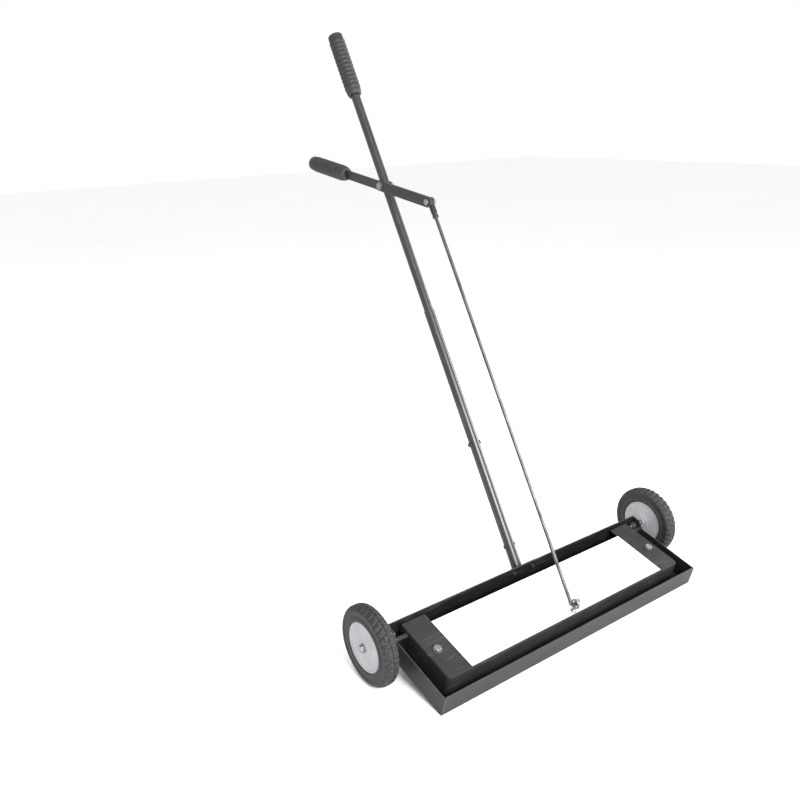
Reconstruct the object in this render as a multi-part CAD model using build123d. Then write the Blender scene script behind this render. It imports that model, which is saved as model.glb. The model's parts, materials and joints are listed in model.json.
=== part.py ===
from build123d import *
import os
from math import asin, atan2, cos, degrees, hypot, radians, sin

# A walk-behind magnetic nail sweeper. Sizes in mm. X across the sweeper, Y from its front to its
# back, Z up. Everything is laid out with the tray level, then the whole machine is tipped forward
# about its axle until the tray's front edge rests on the ground, which is how it stands by itself.

# Tray
tray_length = 780.0
tray_depth = 202.0
ground_clearance = 45.0
sheet = 2.0
bend_radius = 4.0
front_height = 52.0
end_height = 49.5
rear_height = 66.0
ear_length = 38.0

# Wheels and axle bolts
wheel_diameter = 175.0
tyre_width = 35.0
hub_diameter = 108.0
hub_inset = 1.4
hub_wall = 3.0
wheel_gap = 29.5
axle_inset = 11.5
axle_diameter = 9.5
running_fit = 0.05
loose_fit = 0.1
face_gap = 0.3
bush_diameter = 16.0
head_thickness = 6.0

# Handle socket
socket_plate = 3.0
socket_half_width = 40.0
socket_bolt_x = 29.0
socket_bolt_from_edge = 14.0
gusset_reach = 26.0

# Magnet carrier
end_gap = 30.0
front_gap = 26.6
cover_rise = 58.7
cover_rear_gap = 7.0
cover_corner = 10.0
cover_edge = 3.0
end_plate_width = 61.0
slot_depth = 24.5
hinge_ahead = 21.0
hinge_drop = 13.7
hinge_diameter = 10.0
floor_gap = 2.5
magnet_count = 7
magnet_thickness = 25.0
magnet_pitch_gap = 2.0
backing_thickness = 8.0
label_thickness = 0.5

# Lifting eye and pull rod
eye_forward = 40.0
eye_rise = 20.3
eye_ring = 9.5
eye_wire = 5.0
eye_offset = 4.0
eye_shank_diameter = 7.0
eye_shoulder_diameter = 13.0
rod_diameter = 8.0
rod_bend = 7.0
rod_leg_past_eye = 11.0
rod_eye_diameter = 21.0
rod_neck = 34.0
rod_neck_gap = 14.5

# Handle
handle_lean = 44.2
handle_foot_back = 10.6
handle_foot_rise = 37.4
lower_tube_diameter = 25.4
tube_wall = 1.5
tube_slide = 0.1
stub_slide = 0.2
lower_tube_start = 8.0
lower_tube_end = 658.0
upper_tube_start = 292.0
grip_start = 1236.0
grip_length = 165.0
grip_diameter = 40.0
ring_count = 9
socket_stub_length = 90.0
cross_pin_at = 62.0
joint_bolt_at = 316.0

# Lever
lever_pivot_at = 990.0
lever_slope = 6.3
lever_front = 190.0
lever_rear = 156.0
lever_width = 22.0
lever_front_width = 25.0
lever_thickness = 5.0
lever_taper = 18.0
rod_side_gap = 1.0

# Standard fasteners
m6 = 6.0
m8 = 8.0
m6_hex = 10.0
m8_hex = 13.0
axle_hex = 14.3
m6_head = 4.0
m8_head = 5.3
washer = 1.6

# Positions that follow from the sizes above
half = tray_length / 2
tray_inner = half - sheet
floor_top = ground_clearance + sheet
axle_y = tray_depth - axle_inset
axle_z = wheel_diameter / 2
cover_half = tray_inner - end_gap
cover_front = sheet + front_gap
cover_rear = tray_depth - sheet - cover_rear_gap
cover_top = ground_clearance + cover_rise
label_half = cover_half - end_plate_width
slot_front = cover_rear - slot_depth
hinge_y = cover_rear - hinge_ahead
hinge_z = cover_top - hinge_drop
eye_y = eye_forward
eye_z = cover_top + eye_rise
magnet_bottom = floor_top + floor_gap
magnet_top = magnet_bottom + magnet_thickness
backing_top = magnet_top + backing_thickness
foot_y = tray_depth + handle_foot_back
foot_z = ground_clearance + handle_foot_rise
lean = radians(handle_lean)
slope = radians(lever_slope)
pivot_y = foot_y + lever_pivot_at * sin(lean)
pivot_z = foot_z + lever_pivot_at * cos(lean)
pin_y = pivot_y - lever_front * cos(slope)
pin_z = pivot_z + lever_front * sin(slope)
rod_angle = atan2(pin_y - eye_y, pin_z - eye_z)
rod_span = hypot(pin_y - eye_y, pin_z - eye_z)
upper_tube_diameter = lower_tube_diameter - 2 * tube_wall - 2 * tube_slide
lever_far_face = -(upper_tube_diameter / 2 + washer + face_gap)
lever_near_face = lever_far_face - lever_thickness
rod_offset = lever_far_face + rod_side_gap + rod_diameter / 2
rod_leg_end = eye_offset + rod_leg_past_eye
wheel_inner = half + wheel_gap
wheel_outer = wheel_inner + tyre_width

# Tipping angle that brings the tray's rounded front edge down to the ground
edge_back = axle_y - bend_radius
edge_drop = axle_z - ground_clearance - bend_radius
edge_reach = hypot(edge_back, edge_drop)
park_angle = degrees(asin((axle_z - bend_radius) / edge_reach) - atan2(edge_drop, edge_back))


def block(x0, x1, y0, y1, z0, z1):
    return Pos((x0 + x1) / 2, (y0 + y1) / 2, (z0 + z1) / 2) * Box(x1 - x0, y1 - y0, z1 - z0)


def across(x0, y, z):
    """A plane facing along X, with its own x along Y and its own y along Z."""
    return Plane(origin=(x0, y, z), x_dir=(0, 1, 0), z_dir=(1, 0, 0))


def rod_x(diameter, x0, x1, y, z):
    return extrude(across(min(x0, x1), y, z) * Circle(diameter / 2), abs(x1 - x0))


def ring_x(outer, inner, x0, x1, y, z):
    return rod_x(outer, x0, x1, y, z) - rod_x(inner, x0 - 1, x1 + 1, y, z)


def hex_x(flats, x0, x1, y, z):
    sketch = RegularPolygon(flats / 2, 6, major_radius=False)
    return extrude(across(min(x0, x1), y, z) * sketch, abs(x1 - x0))


def nut_x(flats, bore, x0, x1, y, z):
    low, high = min(x0, x1), max(x0, x1)
    return hex_x(flats, low, high, y, z) - rod_x(bore, low - 1, high + 1, y, z)


def slab_x(points, x0, x1):
    """A flat plate standing in the YZ plane, cut to the given outline."""
    return extrude(across(x0, 0, 0) * Polygon(*points, align=None), x1 - x0)


def handle_plane(along):
    direction = (0, sin(lean), cos(lean))
    origin = (0, foot_y + along * sin(lean), foot_z + along * cos(lean))
    return Plane(origin=origin, x_dir=(1, 0, 0), z_dir=direction)


def handle_tube(outer, inner, start, end):
    ring = Circle(outer / 2) - Circle(inner / 2)
    return extrude(handle_plane(start) * ring, end - start)


def handle_point(along):
    return foot_y + along * sin(lean), foot_z + along * cos(lean)


# --- tray -------------------------------------------------------------------------------------

def tray_channel():
    rear = tray_depth
    base = ground_clearance
    outline = Polygon(
        (0, base + front_height), (0, base), (rear, base), (rear, base + rear_height),
        (rear - sheet, base + rear_height), (rear - sheet, floor_top), (sheet, floor_top),
        (sheet, base + front_height), align=None)
    for corner in ((0, base), (rear, base)):
        outline = fillet(outline.vertices().sort_by_distance((*corner, 0))[0], bend_radius)
    for corner in ((sheet, floor_top), (rear - sheet, floor_top)):
        outline = fillet(outline.vertices().sort_by_distance((*corner, 0))[0], bend_radius - sheet)
    channel = extrude(across(-tray_inner, 0, 0) * outline, 2 * tray_inner)
    for x, z in socket_bolt_places():
        channel -= Pos(x, rear, z) * Rot(90, 0, 0) * Cylinder(m6 / 2 + loose_fit, 4 * sheet)
    return channel


def tray_end(side):
    base = ground_clearance
    rear = tray_depth
    top = base + end_height
    rise = rear_height - end_height
    outline = Polygon(
        (0, base), (rear, base), (rear, top + rise), (rear - ear_length + rise, top + rise),
        (rear - ear_length, top), (0, top), align=None)
    for corner in ((0, base), (rear, base)):
        outline = fillet(outline.vertices().sort_by_distance((*corner, 0))[0], bend_radius)
    ear_corner = (rear - ear_length + rise, top + rise, 0)
    outline = fillet(outline.vertices().sort_by_distance(ear_corner)[0], bend_radius)
    x0, x1 = sorted((side * tray_inner, side * half))
    plate = extrude(across(x0, 0, 0) * outline, x1 - x0)
    plate -= rod_x(axle_diameter + 2 * loose_fit, x0 - 1, x1 + 1, axle_y, axle_z)
    plate -= rod_x(hinge_diameter + 2 * loose_fit, x0 - 1, x1 + 1, hinge_y, hinge_z)
    return plate


# --- handle socket, bolted to the back of the tray ------------------------------------------------


def socket_bolt_places():
    low = ground_clearance + socket_bolt_from_edge
    high = ground_clearance + rear_height - socket_bolt_from_edge
    return [(x, z) for x in (-socket_bolt_x, socket_bolt_x) for z in (low, high)]


def handle_socket():
    back = tray_depth + socket_plate
    low = ground_clearance + 5.0
    high = ground_clearance + rear_height - 3.0
    plate = block(-socket_half_width, socket_half_width, tray_depth, back, low, high)
    for x, z in socket_bolt_places():
        plate -= Pos(x, back, z) * Rot(90, 0, 0) * Cylinder(m6 / 2 + loose_fit, 4 * socket_plate)
    stub_radius = lower_tube_diameter / 2 - tube_wall - stub_slide
    stub = extrude(handle_plane(-50) * Circle(stub_radius), 50 + socket_stub_length)
    stub -= block(-60, 60, tray_depth - 80, tray_depth + socket_plate / 2, -100, 300)
    y, z = handle_point(cross_pin_at)
    stub -= rod_x(m6 + 2 * running_fit, -40, 40, y, z)
    corners = [(back - 1, low + 2), (back - 1, foot_z), (foot_y + gusset_reach, foot_z + 4)]
    gusset = slab_x(corners, -3, 3)
    gusset -= extrude(handle_plane(lower_tube_start - 2) * Circle(40), 100)
    return plate + stub + gusset


def socket_bolts():
    back = tray_depth + socket_plate
    hexagon = RegularPolygon(m6_hex / 2, 6, major_radius=False)
    solids = []
    for x, z in socket_bolt_places():
        head = Pos(x, back, z) * Rot(-90, 0, 0) * extrude(hexagon, m6_head)
        shank = Pos(x, back, z) * Rot(90, 0, 0) * extrude(Circle(m6 / 2), socket_plate + sheet + 7)
        solids.append(head + shank)
    return Compound(solids)


def socket_nuts():
    front = tray_depth - sheet
    ring = RegularPolygon(m6_hex / 2, 6, major_radius=False) - Circle(m6 / 2 + running_fit)
    nuts = [Pos(x, front, z) * Rot(90, 0, 0) * extrude(ring, 5) for x, z in socket_bolt_places()]
    return Compound(nuts)


# --- handle ---------------------------------------------------------------------------------------

def handle_lower_tube():
    tube = handle_tube(
        lower_tube_diameter, lower_tube_diameter - 2 * tube_wall, lower_tube_start, lower_tube_end)
    for along in (cross_pin_at, joint_bolt_at):
        y, z = handle_point(along)
        tube -= rod_x(m6 + 2 * running_fit, -40, 40, y, z)
    return tube


def handle_upper_tube():
    end = grip_start + grip_length - 6
    bore = upper_tube_diameter - 2 * tube_wall
    tube = handle_tube(upper_tube_diameter, bore, upper_tube_start, end)
    y, z = handle_point(joint_bolt_at)
    tube -= rod_x(m6 + 2 * running_fit, -40, 40, y, z)
    tube -= rod_x(m8 + 2 * running_fit, -40, 40, pivot_y, pivot_z)
    return tube


def handle_cross_pin():
    y, z = handle_point(cross_pin_at)
    reach = lower_tube_diameter / 2
    pin = rod_x(m6, -reach, reach, y, z)
    for side in (-1, 1):
        pin += rod_x(m6 + 4, side * reach, side * (reach + 2.5), y, z)
    return pin


def handle_joint_bolt():
    y, z = handle_point(joint_bolt_at)
    reach = lower_tube_diameter / 2
    return hex_x(m6_hex, -reach, -reach - m6_head, y, z) + rod_x(m6, -reach, reach + 5, y, z)


def handle_joint_nut():
    y, z = handle_point(joint_bolt_at)
    reach = lower_tube_diameter / 2
    return nut_x(m6_hex, m6 + 2 * running_fit, reach, reach + 3.6, y, z)


def grip(length, diameter, bore, depth):
    """A moulded hand grip along +Z: a tapered mouth, shallow rings, a rounded closed end."""
    outer = diameter / 2
    sleeve = outer - 1.5
    body = Cylinder(sleeve, length, align=(Align.CENTER, Align.CENTER, Align.MIN))
    body = fillet(body.faces().sort_by(Axis.Z)[-1].edges(), 3)
    body = chamfer(body.faces().sort_by(Axis.Z)[0].edges(), 9, 2.5)
    pitch = (length - 45) / ring_count
    for index in range(ring_count):
        ring = Cylinder(outer, pitch * 0.55, align=(Align.CENTER, Align.CENTER, Align.MIN))
        body += Pos(0, 0, 22 + index * pitch) * ring
    return body - bore_for(bore, depth)


def bore_for(bore, depth):
    return Pos(0, 0, -1) * extrude(bore, depth + 1)


def handle_grip():
    bore = Circle(upper_tube_diameter / 2 + running_fit)
    return handle_plane(grip_start).location * grip(grip_length, grip_diameter, bore, grip_length - 5)


# --- lever ----------------------------------------------------------------------------------------

def lever_place(along):
    """A point on the lever's centre line, measured backwards from the pivot."""
    return pivot_y + along * cos(slope), pivot_z - along * sin(slope)


def lever_bar():
    end = lever_rear + grip_length - 12
    half_rear = lever_width / 2
    half_front = lever_front_width / 2
    lower = [(-lever_front, -half_front), (0, -half_front), (lever_taper, -half_rear), (end, -half_rear)]
    upper = [(x, -y) for x, y in reversed(lower)]
    shape = Polygon(*lower, *upper, align=None)
    shape += Pos(-lever_front, 0) * Circle(half_front)
    shape -= Circle(m8 / 2 + running_fit)
    shape -= Pos(-lever_front, 0) * Circle(m8 / 2 + running_fit)
    return extrude(lever_plane(lever_near_face) * shape, lever_thickness)


def lever_plane(x):
    return Plane(origin=(x, pivot_y, pivot_z), x_dir=(0, cos(slope), -sin(slope)), z_dir=(1, 0, 0))


def lever_grip():
    y, z = lever_place(lever_rear)
    middle = (lever_near_face + lever_far_face) / 2
    plane = Plane(origin=(middle, y, z), x_dir=(1, 0, 0), z_dir=(0, cos(slope), -sin(slope)))
    bore = Rectangle(lever_thickness + 2 * running_fit, lever_width + 2 * running_fit)
    return plane.location * grip(grip_length, grip_diameter, bore, grip_length - 11)


def lever_pivot_bolt():
    head = lever_near_face - face_gap - washer
    bolt = hex_x(m8_hex, head, head - m8_head, pivot_y, pivot_z)
    return bolt + rod_x(m8, head, upper_tube_diameter / 2 + washer + 10, pivot_y, pivot_z)


def lever_pivot_washers():
    outer = lever_near_face - face_gap
    reach = upper_tube_diameter / 2
    bore = m8 + 2 * running_fit
    spans = ((outer - washer, outer), (lever_far_face + face_gap, -reach), (reach, reach + washer))
    return Compound([ring_x(m8 * 2.4, bore, x0, x1, pivot_y, pivot_z) for x0, x1 in spans])


def lever_pivot_nut():
    start = upper_tube_diameter / 2 + washer
    return nut_x(m8_hex, m8 + 2 * running_fit, start, start + 7, pivot_y, pivot_z)


def rod_pin_bolt():
    bolt = hex_x(m8_hex, lever_near_face, lever_near_face - m8_head, pin_y, pin_z)
    return bolt + rod_x(m8, lever_near_face, rod_offset + 15, pin_y, pin_z)


def rod_pin_nut():
    start = rod_offset + rod_diameter / 2 + 2 * face_gap
    return nut_x(m8_hex, m8 + 2 * running_fit, start, start + 6.5, pin_y, pin_z)


# --- pull rod -------------------------------------------------------------------------------------

def rod_plane(from_eye):
    direction = (0, sin(rod_angle), cos(rod_angle))
    origin = (rod_offset, eye_y + from_eye * sin(rod_angle), eye_z + from_eye * cos(rod_angle))
    return Plane(origin=origin, x_dir=(1, 0, 0), z_dir=direction)


def rod_top_eye():
    width = rod_diameter / 2
    neck_radius = rod_diameter / 2 + 2.2
    eye = rod_x(rod_eye_diameter, rod_offset - width, rod_offset + width, pin_y, pin_z)
    tongue = Rectangle(rod_diameter, 2 * neck_radius)
    eye += extrude(rod_plane(rod_span - rod_neck + 4) * tongue, rod_neck - 8)
    eye += extrude(rod_plane(rod_span - rod_neck) * Circle(neck_radius), rod_neck - rod_neck_gap)
    eye -= rod_x(m8 + 2 * running_fit, rod_offset - 20, rod_offset + 20, pin_y, pin_z)
    bore = Circle(rod_diameter / 2 + running_fit)
    return eye - extrude(rod_plane(rod_span - rod_neck - 5) * bore, 20)


def rod_lock_nut():
    ring = RegularPolygon(m8_hex / 2, 6, major_radius=False) - Circle(rod_diameter / 2 + running_fit)
    return extrude(rod_plane(rod_span - rod_neck - 6.5) * ring, 6.5)


def pull_rod():
    top = rod_plane(rod_span - rod_neck + 14)
    start = top.origin
    corner = (rod_offset, eye_y, eye_z)
    end = (rod_leg_end, eye_y, eye_z)
    path = FilletPolyline(start, corner, end, radius=rod_bend)
    section = Plane(origin=start, z_dir=(0, -sin(rod_angle), -cos(rod_angle))) * Circle(rod_diameter / 2)
    rod = sweep(section, path=path)
    return rod - Pos(rod_leg_end - 2.6, eye_y, eye_z) * Cylinder(1.3, 20)


def rod_washer():
    bore = rod_diameter + 2 * running_fit
    outer_face = rod_leg_end - 4.4
    return ring_x(2.2 * rod_diameter, bore, outer_face - washer, outer_face, eye_y, eye_z)


def rod_split_pin():
    pin = Pos(rod_leg_end - 2.6, eye_y, eye_z) * Cylinder(1.2, 15)
    return pin + Pos(rod_leg_end - 2.6, eye_y, eye_z + 9.5) * Rot(0, 90, 0) * Torus(2.6, 1.1)


# --- magnet carrier -------------------------------------------------------------------------------

def magnet_cover():
    skirt = magnet_bottom + 3.0
    cover = block(-cover_half, cover_half, cover_front, cover_rear, skirt, cover_top)
    cover = fillet(cover.edges().filter_by(Axis.Z).group_by(Axis.Y)[0], cover_corner)
    rim = [e for e in cover.faces().sort_by(Axis.Z)[-1].edges() if e.center().Y < cover_rear - 1]
    cover = fillet(rim, cover_edge)
    inside = block(-cover_half + sheet, cover_half - sheet, cover_front + sheet, cover_rear + 1,
                   skirt - 1, cover_top - sheet)
    cover -= fillet(inside.edges().filter_by(Axis.Z).group_by(Axis.Y)[0], cover_corner - sheet)
    slot_low = cover_top - 2 * sheet
    cover -= block(-label_half, label_half, slot_front, cover_rear + 1, slot_low, cover_top + 1)
    lug_front = hinge_y - hinge_diameter - 3
    lug_low = hinge_z - hinge_diameter
    cover -= block(-half, half, lug_front, cover_rear + 1, skirt - 1, lug_low)
    cover -= rod_x(hinge_diameter + 2 * running_fit, -half, half, hinge_y, hinge_z)
    for x, y in cover_bolt_places():
        cover -= Pos(x, y, cover_top) * Cylinder(m8 / 2 + loose_fit, 6 * sheet)
    eye_hole = Cylinder(eye_shank_diameter / 2 + loose_fit, 6 * sheet)
    return cover - Pos(eye_offset, eye_y, cover_top) * eye_hole


def cover_bolt_places():
    x = (cover_half + label_half) / 2 + 5.5
    y = (cover_front + slot_front) / 2 + 2.5
    return [(-x, y), (x, y)]


def label_plate():
    plate = block(-label_half, label_half, cover_front + cover_edge + 0.5, slot_front,
                  cover_top, cover_top + label_thickness)
    return plate - Pos(eye_offset, eye_y, cover_top) * Cylinder(eye_ring - 2.3, 6)


def cover_bolts():
    head = cover_top + washer
    hexagon = RegularPolygon(m8_hex / 2 + 1, 6, major_radius=False)
    solids = []
    for x, y in cover_bolt_places():
        bolt = Pos(x, y, head) * extrude(hexagon, m8_head)
        shank = Pos(x, y, backing_top - 6) * extrude(Circle(m8 / 2), head - backing_top + 6)
        solids.append(bolt + shank)
    return Compound(solids)


def cover_bolt_washers():
    ring = Circle(9.5) - Circle(m8 / 2 + loose_fit)
    return Compound([Pos(x, y, cover_top) * extrude(ring, washer) for x, y in cover_bolt_places()])


def cover_spacers():
    ring = Circle(8) - Circle(m8 / 2 + loose_fit)
    height = cover_top - sheet - backing_top
    return Compound([Pos(x, y, backing_top) * extrude(ring, height) for x, y in cover_bolt_places()])


def carrier_span():
    return cover_front + sheet + 3.5, hinge_y - 10.0


def backing_plate():
    front, rear = carrier_span()
    reach = cover_half - sheet - 5
    plate = block(-reach, reach, front, rear, magnet_top, backing_top)
    for x, y in cover_bolt_places():
        plate -= Pos(x, y, backing_top) * Cylinder(m8 / 2 + running_fit, 13)
    return plate


def magnet_blocks():
    front, rear = carrier_span()
    reach = cover_half - sheet - 7
    width = (2 * reach - (magnet_count - 1) * magnet_pitch_gap) / magnet_count
    solids = []
    for index in range(magnet_count):
        x0 = -reach + index * (width + magnet_pitch_gap)
        solids.append(block(x0, x0 + width, front + 2, rear - 2, magnet_bottom, magnet_top))
    return Compound(solids)


def lift_eye():
    eye = Pos(eye_offset, eye_y, eye_z) * Rot(0, 90, 0) * Torus(eye_ring, eye_wire / 2)
    foot = cover_top
    neck_top = eye_z - eye_ring
    shank = Circle(eye_shank_diameter / 2)
    eye += Pos(eye_offset, eye_y, foot) * extrude(shank, neck_top - foot)
    eye += Pos(eye_offset, eye_y, foot) * extrude(Circle(eye_shoulder_diameter / 2), 3)
    return eye + Pos(eye_offset, eye_y, foot - sheet - 8) * extrude(shank, sheet + 8)


def lift_eye_nut():
    bore = Circle(eye_shank_diameter / 2 + running_fit)
    ring = RegularPolygon(m8_hex / 2 - 0.5, 6, major_radius=False) - bore
    return Pos(eye_offset, eye_y, cover_top - sheet - 6) * extrude(ring, 6)


def hinge_pins():
    solids = []
    for side in (-1, 1):
        pin = rod_x(hinge_diameter, side * (cover_half - sheet - 6), side * half, hinge_y, hinge_z)
        solids.append(pin + rod_x(hinge_diameter + 6, side * half, side * (half + 2.5), hinge_y, hinge_z))
    return Compound(solids)


def hinge_rings(diameter, from_x, to_x):
    bore = hinge_diameter + 2 * running_fit
    spans = [sorted((side * from_x, side * to_x)) for side in (-1, 1)]
    return Compound([ring_x(diameter, bore, x0, x1, hinge_y, hinge_z) for x0, x1 in spans])


def hinge_spacers():
    return hinge_rings(hinge_diameter + 3, cover_half + face_gap, tray_inner)


def hinge_clips():
    return hinge_rings(hinge_diameter + 6, cover_half - sheet - 2.2, cover_half - sheet - face_gap)


# --- wheels ---------------------------------------------------------------------------------------

def wheel_shape(points, side):
    """Turn a half section, given as distance from the axle and from the wheel's middle."""
    section = Plane.XZ * Polygon(*points, align=None)
    middle = side * (wheel_inner + wheel_outer) / 2
    turned = revolve(section, Axis.Z)
    return Pos(middle, axle_y, axle_z) * Rot(0, 90 * side, 0) * turned


def tyre(side):
    outer = wheel_diameter / 2
    inner = hub_diameter / 2
    w = tyre_width / 2
    shape = wheel_shape([
        (inner, -w + 2), (inner + 4, -w), (outer - 12, -w), (outer - 4, -w + 3), (outer, -w + 8),
        (outer, w - 8), (outer - 4, w - 3), (outer - 12, w), (inner + 4, w), (inner, w - 2)], side)
    for offset in (-7.0, 0.0, 7.0):
        middle = side * (wheel_inner + wheel_outer) / 2 + offset
        groove = ring_x(wheel_diameter + 2, wheel_diameter - 5, middle - 1.1, middle + 1.1, axle_y, axle_z)
        shape -= groove
    return shape


def hub(side):
    """The wheel's outer half: rim, outer disc and boss in one moulding, open towards the tray."""
    rim = hub_diameter / 2
    face = tyre_width / 2 - hub_inset
    boss = bush_diameter / 2
    return wheel_shape([
        (boss, -face + hub_wall), (boss + 4, -face + hub_wall), (boss + 4, face - hub_wall),
        (rim - hub_wall, face - hub_wall), (rim - hub_wall, -face + hub_wall), (rim, -face + hub_wall),
        (rim, face), (boss, face)], side)


def hub_inner_disc(side):
    rim = hub_diameter / 2
    face = tyre_width / 2 - hub_inset
    boss = bush_diameter / 2
    inner = -face + hub_wall
    return wheel_shape([(boss, -face), (rim, -face), (rim, inner), (boss, inner)], side)


def wheel_bush(side):
    reach = tyre_width / 2
    bore = axle_diameter / 2 + running_fit
    outer = bush_diameter / 2
    return wheel_shape([(bore, -reach), (outer, -reach), (outer, reach), (bore, reach)], side)


def axle_bolts():
    head = wheel_outer + face_gap + washer
    solids = []
    for side in (-1, 1):
        bolt = rod_x(axle_diameter, side * (tray_inner - washer - 11), side * head, axle_y, axle_z)
        hexagon = hex_x(axle_hex, side * head, side * (head + head_thickness), axle_y, axle_z)
        solids.append(bolt + hexagon)
    return Compound(solids)


def axle_washers():
    solids = []
    bore = axle_diameter + 2 * running_fit
    outer = wheel_outer + face_gap
    for side in (-1, 1):
        for start, diameter in ((outer, 20.0), (tray_inner - washer, 19.0)):
            x0, x1 = sorted((side * start, side * (start + washer)))
            solids.append(ring_x(diameter, bore, x0, x1, axle_y, axle_z))
    return Compound(solids)


def axle_spacers():
    bore = axle_diameter + 2 * running_fit
    solids = []
    for side in (-1, 1):
        x0, x1 = sorted((side * half, side * (wheel_inner - face_gap)))
        solids.append(ring_x(axle_diameter + 4.5, bore, x0, x1, axle_y, axle_z))
    return Compound(solids)


def axle_nuts():
    start = tray_inner - washer
    bore = axle_diameter + 2 * running_fit
    return Compound([
        nut_x(axle_hex, bore, side * (start - 8), side * start, axle_y, axle_z) for side in (-1, 1)])


# --- the whole machine ----------------------------------------------------------------------------

nodes = {
    "tray_channel": tray_channel(),
    "tray_end_left": tray_end(-1),
    "tray_end_right": tray_end(1),
    "handle_socket": handle_socket(),
    "socket_bolts": socket_bolts(),
    "socket_nuts": socket_nuts(),
    "handle_lower_tube": handle_lower_tube(),
    "handle_upper_tube": handle_upper_tube(),
    "handle_cross_pin": handle_cross_pin(),
    "handle_joint_bolt": handle_joint_bolt(),
    "handle_joint_nut": handle_joint_nut(),
    "handle_grip": handle_grip(),
    "lever_pivot_bolt": lever_pivot_bolt(),
    "lever_pivot_washers": lever_pivot_washers(),
    "lever_pivot_nut": lever_pivot_nut(),
    "lever_bar": lever_bar(),
    "lever_grip": lever_grip(),
    "rod_pin_bolt": rod_pin_bolt(),
    "rod_pin_nut": rod_pin_nut(),
    "rod_top_eye": rod_top_eye(),
    "rod_lock_nut": rod_lock_nut(),
    "pull_rod": pull_rod(),
    "rod_washer": rod_washer(),
    "rod_split_pin": rod_split_pin(),
    "magnet_cover": magnet_cover(),
    "label_plate": label_plate(),
    "cover_bolts": cover_bolts(),
    "cover_bolt_washers": cover_bolt_washers(),
    "cover_spacers": cover_spacers(),
    "backing_plate": backing_plate(),
    "magnet_blocks": magnet_blocks(),
    "lift_eye": lift_eye(),
    "lift_eye_nut": lift_eye_nut(),
    "hinge_pins": hinge_pins(),
    "hinge_spacers": hinge_spacers(),
    "hinge_clips": hinge_clips(),
    "axle_bolts": axle_bolts(),
    "axle_washers": axle_washers(),
    "axle_spacers": axle_spacers(),
    "axle_nuts": axle_nuts(),
    "tyre_left": tyre(-1),
    "tyre_right": tyre(1),
    "hub_left": hub(-1),
    "hub_right": hub(1),
    "hub_inner_disc_left": hub_inner_disc(-1),
    "hub_inner_disc_right": hub_inner_disc(1),
    "wheel_bush_left": wheel_bush(-1),
    "wheel_bush_right": wheel_bush(1),
}

tip = Pos(0, axle_y, axle_z) * Rot(park_angle, 0, 0) * Pos(0, -axle_y, -axle_z)
tipped = {name: tip * shape for name, shape in nodes.items()}
extent = Compound(list(tipped.values())).bounding_box()
shift_y = -(extent.min.Y + extent.max.Y) / 2
shift_x = -(extent.min.X + extent.max.X) / 2
stand = Pos(shift_x, shift_y, 0) * tip

os.makedirs("parts", exist_ok=True)
for name, shape in nodes.items():
    export_step(stand * shape, f"parts/{name}.step")
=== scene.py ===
# %% [markdown]
# # A magnetic nail sweeper
# This lesson dresses a finished CAD model of a walk-behind nail sweeper for rendering. The CAD gives
# every piece its true place and size. Here each piece gets a finish, and the pieces whose feel depends
# on fine shape (tyres, wheel discs, grips, bolt heads, the pull rod) are modelled again in mesh code.

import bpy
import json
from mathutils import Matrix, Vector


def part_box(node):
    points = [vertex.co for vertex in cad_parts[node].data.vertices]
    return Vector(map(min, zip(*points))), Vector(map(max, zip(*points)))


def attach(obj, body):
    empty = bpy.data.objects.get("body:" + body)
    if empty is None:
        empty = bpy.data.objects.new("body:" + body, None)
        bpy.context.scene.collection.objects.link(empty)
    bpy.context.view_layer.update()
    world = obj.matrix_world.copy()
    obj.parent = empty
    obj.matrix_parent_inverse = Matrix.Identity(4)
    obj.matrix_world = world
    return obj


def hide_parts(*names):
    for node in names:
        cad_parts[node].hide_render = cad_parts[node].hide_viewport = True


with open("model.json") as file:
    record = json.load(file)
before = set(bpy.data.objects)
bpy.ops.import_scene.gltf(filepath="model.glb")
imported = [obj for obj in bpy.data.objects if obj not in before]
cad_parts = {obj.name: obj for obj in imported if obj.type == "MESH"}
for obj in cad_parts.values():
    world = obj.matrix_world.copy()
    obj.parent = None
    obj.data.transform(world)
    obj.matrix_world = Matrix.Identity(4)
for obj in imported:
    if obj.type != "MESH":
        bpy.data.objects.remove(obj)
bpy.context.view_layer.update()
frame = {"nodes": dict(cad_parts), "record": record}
nodes = frame["nodes"]
record = frame["record"]

# %% Libraries and the millimetre
import json
import math
import bmesh
import bpy
from mathutils import Matrix, Vector

# Blender works in metres. A size that is multiplied by MM is in metres, and one that isn't is in mm.
MM = 0.001

# %% [markdown]
# ## Where things are
# The sweeper stands parked: it is tipped forward on its wheels until the tray's front edge touches the
# ground. Instead of typing positions, we read them from the CAD: the joints give the lever pivot and the
# rod pin, the boxes of round pieces give their centres, and the tray's underside gives the tipping angle.

# %% Read the joints and the directions of the main parts
joints = {joint["name"]: joint for joint in record["behaviour"]["joints"]}


def joint_place(name):
    return Vector(joints[name]["pos_m"])


def middle(node):
    low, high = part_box(node)
    return (Vector(low) + Vector(high)) / 2


def span(node):
    low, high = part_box(node)
    return Vector(high) - Vector(low)


across = Vector((1, 0, 0))
tray_up = -Vector(record["mounts"][0]["axis"])
tray_back = tray_up.cross(across)
lever_pivot = joint_place("lever_swing")
rod_pin = joint_place("rod_swing")
eye_centre = middle("rod_washer")
handle_way = (middle("handle_upper_tube") - middle("handle_lower_tube")).normalized()
lever_way = (lever_pivot - rod_pin).normalized()
rod_way = Vector((0, rod_pin.y - eye_centre.y, rod_pin.z - eye_centre.z)).normalized()
print("tipped by %.1f degrees" % math.degrees(math.atan2(-tray_up.y, tray_up.z)))
print("handle leans %.1f degrees back" % math.degrees(math.atan2(handle_way.y, handle_way.z)))

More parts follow.
